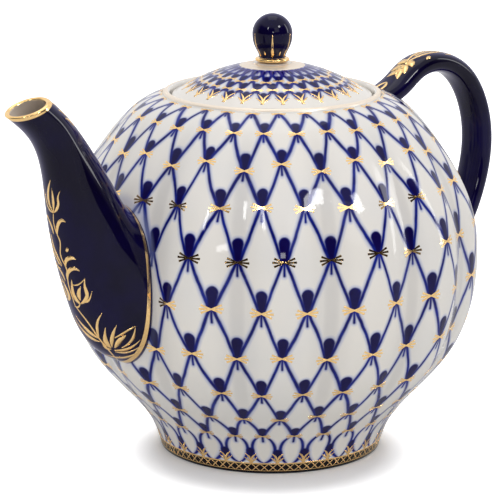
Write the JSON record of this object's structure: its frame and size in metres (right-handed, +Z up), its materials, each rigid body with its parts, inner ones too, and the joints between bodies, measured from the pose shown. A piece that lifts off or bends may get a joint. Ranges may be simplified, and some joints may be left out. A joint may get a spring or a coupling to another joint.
{
  "type": "porcelain teapot",
  "caption": "Lobed globe teapot on a foot ring, with an S-curved spout, a high strap handle and a domed lid with a ball knob.",
  "frame": {"origin": "middle of the foot-level bounding rectangle; the pot's own axis stands 3.6 mm along +X from it", "axes": "+Z up, spout towards -X, handle towards +X, the object is symmetric across the XZ plane"},
  "size_m": [0.3038, 0.1962, 0.2115],
  "materials": {
    "white_porcelain": "gloss",
    "cobalt_glaze": "gloss"
  },
  "bodies": {
    "pot": {"teapot_body": "white_porcelain", "spout": "cobalt_glaze", "handle": "cobalt_glaze"},
    "lid": {"lid": "white_porcelain", "lid_knob": "cobalt_glaze"}
  },
  "joints": [
    {"name": "lid_lift", "type": "slide", "parent": "pot", "child": "lid", "axis": [0, 0, 1], "range_m": [0, 0.04]}
  ]
}
